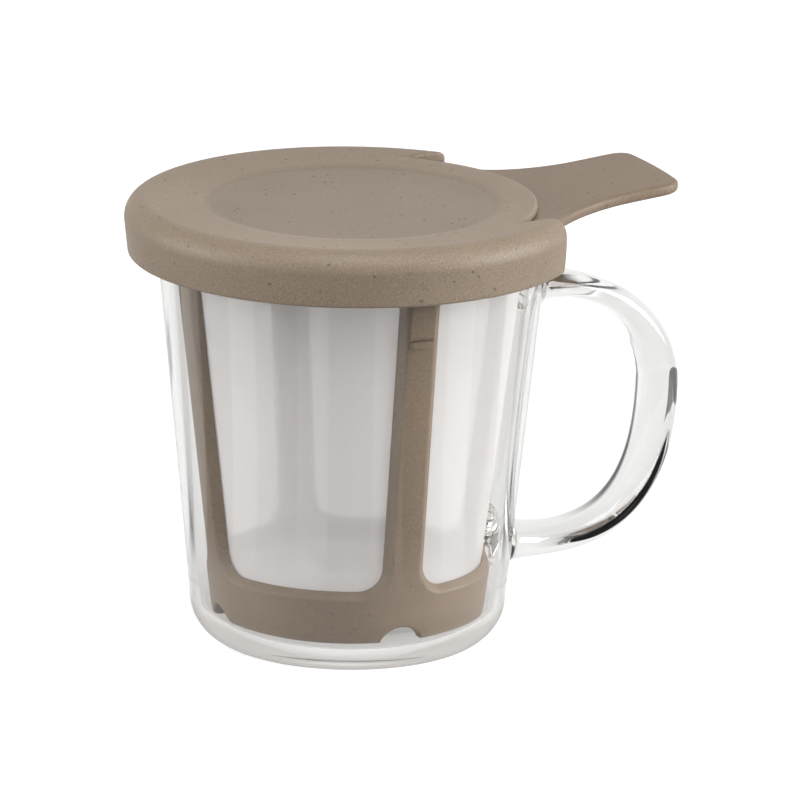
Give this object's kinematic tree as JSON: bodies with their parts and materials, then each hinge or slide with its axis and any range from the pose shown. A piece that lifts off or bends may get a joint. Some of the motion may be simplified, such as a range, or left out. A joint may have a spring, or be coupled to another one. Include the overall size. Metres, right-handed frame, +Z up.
{
  "type": "pour-over coffee brewer",
  "caption": "Glass mug with a loop handle, a mesh-windowed strainer that hangs in its mouth by a flange and flat handle, and a notched dished lid.",
  "frame": {"origin": "centre of the glass mug's flat foot, on the surface it stands on", "axes": "+Z up along the mug's axis, +X along the glass handle and the strainer's handle"},
  "size_m": [0.1269, 0.099, 0.0999],
  "materials": {
    "glass": "clear borosilicate, fire-polished",
    "strainer_plastic": "matt taupe composite with fine specks",
    "lid_plastic": "matt taupe composite with fine specks",
    "mesh": "fine woven polyester mesh"
  },
  "bodies": {
    "mug": {"glass_cup": "glass", "glass_handle": "glass"},
    "strainer": {"strainer_frame": "strainer_plastic", "mesh_panel_1": "mesh", "mesh_panel_2": "mesh", "mesh_panel_3": "mesh", "mesh_panel_4": "mesh", "floor_mesh": "mesh"},
    "lid": {"lid": "lid_plastic"}
  },
  "joints": [
    {"name": "strainer_lift", "type": "slide", "parent": "mug", "child": "strainer", "axis": [0, 0, 1], "range_m": [0, 0.1]},
    {"name": "lid_lift", "type": "slide", "parent": "strainer", "child": "lid", "axis": [0, 0, 1], "range_m": [0, 0.04]}
  ]
}
